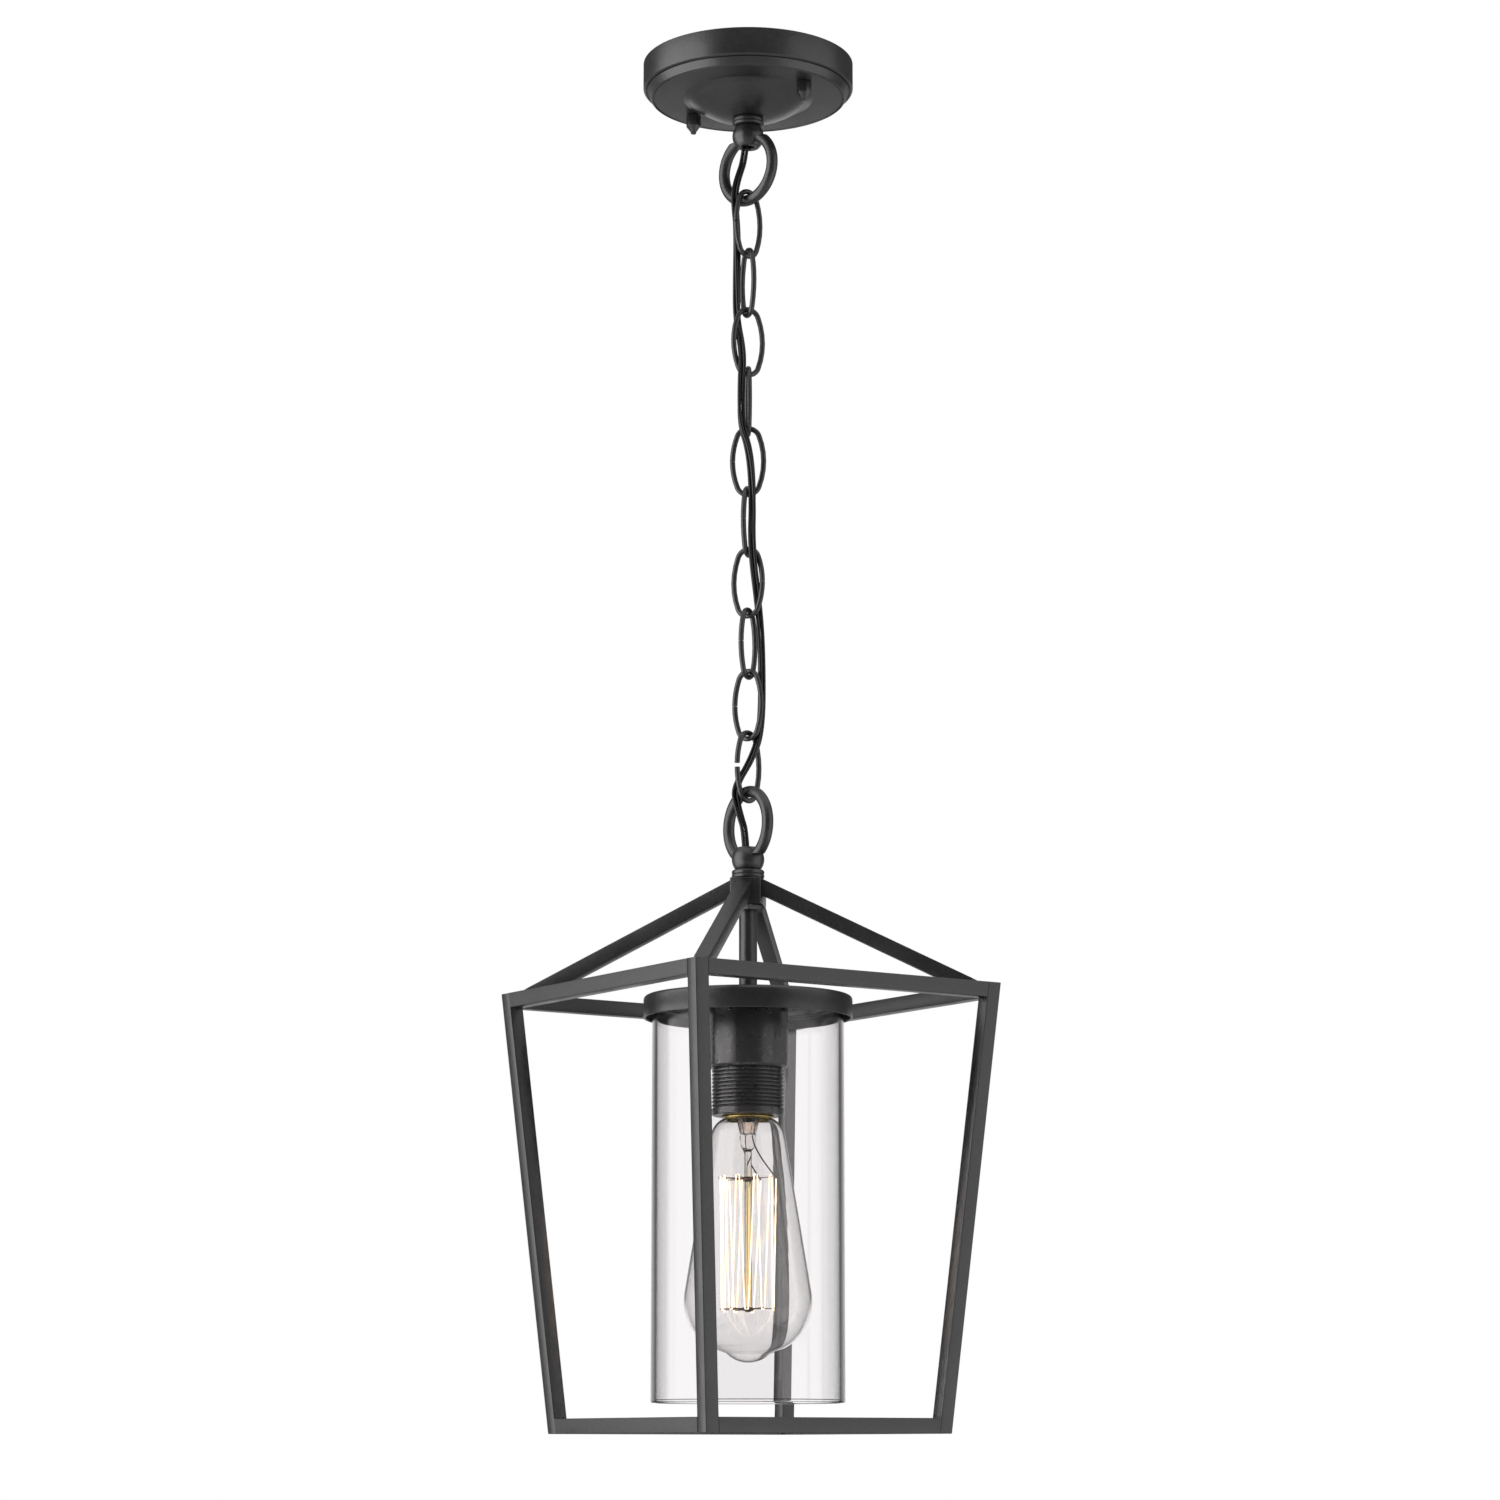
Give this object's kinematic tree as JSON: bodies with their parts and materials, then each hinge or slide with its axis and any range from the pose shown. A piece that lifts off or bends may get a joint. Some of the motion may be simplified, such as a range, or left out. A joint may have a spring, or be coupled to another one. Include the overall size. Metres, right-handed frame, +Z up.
{
  "type": "hanging lantern",
  "caption": "Chain-hung ceiling lantern: round canopy, link chain, tapered open square cage in black metal, clear glass cylinder and a screw-in filament bulb.",
  "frame": {"origin": "centre of the canopy's rim, in the plane of the ceiling", "axes": "+Z up towards the ceiling; X and Y along the sides of the square cage; the lantern hangs down along -Z"},
  "size_m": [0.1976, 0.1976, 0.7732],
  "materials": {
    "black_metal": "matte black powder coat with a faint texture",
    "zinc_steel": "zinc plated",
    "green_screw": "green lacquer",
    "clear_glass": "clear, polished",
    "bulb_glass": "clear, thin",
    "soft_washer": "matte",
    "black_resin": "satin moulded resin",
    "brass": "stamped sheet",
    "solder": "dull solder",
    "filament": "glowing",
    "support_wire": "drawn wire",
    "wire_sleeve": "smooth sleeve"
  },
  "bodies": {
    "canopy": {"canopy_dish": "black_metal", "mounting_crossbar": "zinc_steel", "crossbar_screws": "zinc_steel", "canopy_cap_nuts": "black_metal", "ground_screw": "green_screw", "threaded_nipple": "zinc_steel", "nipple_lock_nut": "zinc_steel", "canopy_collar": "black_metal", "canopy_loop": "black_metal", "live_wire": "wire_sleeve", "neutral_wire": "wire_sleeve", "earth_wire": "wire_sleeve"},
    "link_01": {"chain_link_01": "black_metal"},
    "link_02": {"chain_link_02": "black_metal"},
    "link_03": {"chain_link_03": "black_metal"},
    "link_04": {"chain_link_04": "black_metal"},
    "link_05": {"chain_link_05": "black_metal"},
    "link_06": {"chain_link_06": "black_metal"},
    "link_07": {"chain_link_07": "black_metal"},
    "link_08": {"chain_link_08": "black_metal"},
    "link_09": {"chain_link_09": "black_metal"},
    "link_10": {"chain_link_10": "black_metal"},
    "lantern": {"bottom_bar_1": "black_metal", "bottom_bar_2": "black_metal", "bottom_bar_3": "black_metal", "bottom_bar_4": "black_metal", "centre_contact": "brass", "corner_post_1": "black_metal", "corner_post_2": "black_metal", "corner_post_3": "black_metal", "corner_post_4": "black_metal", "glass_cylinder": "clear_glass", "glass_holder": "black_metal", "glass_washer": "soft_washer", "hub": "black_metal", "hub_nut": "black_metal", "lamp_holder": "black_resin", "lantern_collar": "black_metal", "lantern_loop": "black_metal", "roof_bar_1": "black_metal", "roof_bar_2": "black_metal", "roof_bar_3": "black_metal", "roof_bar_4": "black_metal", "screw_shell": "brass", "shade_ring": "black_resin", "stem": "black_metal", "stem_lock_nut": "black_metal", "top_bar_1": "black_metal", "top_bar_2": "black_metal", "top_bar_3": "black_metal", "top_bar_4": "black_metal"},
    "bulb": {"bulb_contact": "solder", "bulb_insulator": "black_resin", "bulb_cap": "brass", "bulb_glass": "bulb_glass", "bulb_stem": "bulb_glass", "filament_supports": "support_wire", "filament": "filament", "lead_wires": "support_wire"}
  },
  "joints": [
    {"name": "link_01_swing", "type": "hinge", "parent": "canopy", "child": "link_01", "pos_m": [0, 0, -0.081], "axis": [0.2079, -0.9781, 0], "range_deg": [-15, 15], "deforming": ["live_wire", "neutral_wire", "earth_wire"]},
    {"name": "link_02_swing", "type": "hinge", "parent": "link_01", "child": "link_02", "pos_m": [0, 0, -0.1142], "axis": [0.9945, 0.1045, 0], "range_deg": [-15, 15], "deforming": ["live_wire", "neutral_wire", "earth_wire"]},
    {"name": "link_03_swing", "type": "hinge", "parent": "link_02", "child": "link_03", "pos_m": [0, 0, -0.1491], "axis": [-0.2079, -0.9781, 0], "range_deg": [-15, 15], "deforming": ["live_wire", "neutral_wire", "earth_wire"]},
    {"name": "link_04_swing", "type": "hinge", "parent": "link_03", "child": "link_04", "pos_m": [0, 0, -0.184], "axis": [0.9816, -0.1908, 0], "range_deg": [-15, 15], "deforming": ["live_wire", "neutral_wire", "earth_wire"]},
    {"name": "link_05_swing", "type": "hinge", "parent": "link_04", "child": "link_05", "pos_m": [0, 0, -0.2189], "axis": [-0.4848, -0.8746, 0], "range_deg": [-15, 15], "deforming": ["live_wire", "neutral_wire", "earth_wire"]},
    {"name": "link_06_swing", "type": "hinge", "parent": "link_05", "child": "link_06", "pos_m": [0, 0, -0.2538], "axis": [0.766, -0.6428, 0], "range_deg": [-15, 15], "deforming": ["live_wire", "neutral_wire", "earth_wire"]},
    {"name": "link_07_swing", "type": "hinge", "parent": "link_06", "child": "link_07", "pos_m": [0, 0, -0.2887], "axis": [0.7771, 0.6293, 0], "range_deg": [-15, 15], "deforming": ["live_wire", "neutral_wire", "earth_wire"]},
    {"name": "link_08_swing", "type": "hinge", "parent": "link_07", "child": "link_08", "pos_m": [0, 0, -0.3236], "axis": [-0.515, 0.8572, 0], "range_deg": [-15, 15], "deforming": ["live_wire", "neutral_wire", "earth_wire"]},
    {"name": "link_09_swing", "type": "hinge", "parent": "link_08", "child": "link_09", "pos_m": [0, 0, -0.3585], "axis": [0.866, 0.5, 0], "range_deg": [-15, 15], "deforming": ["live_wire", "neutral_wire", "earth_wire"]},
    {"name": "link_10_swing", "type": "hinge", "parent": "link_09", "child": "link_10", "pos_m": [0, 0, -0.3934], "axis": [0.3907, -0.9205, 0], "range_deg": [-15, 15], "deforming": ["live_wire", "neutral_wire", "earth_wire"]},
    {"name": "lantern_swing", "type": "hinge", "parent": "link_10", "child": "lantern", "pos_m": [0, 0, -0.4283], "axis": [0.9744, 0.225, 0], "range_deg": [-15, 15], "deforming": ["live_wire", "neutral_wire", "earth_wire"]},
    {"name": "bulb_out", "type": "slide", "parent": "lantern", "child": "bulb", "axis": [0, 0, -1], "range_m": [0, 0.027]}
  ]
}
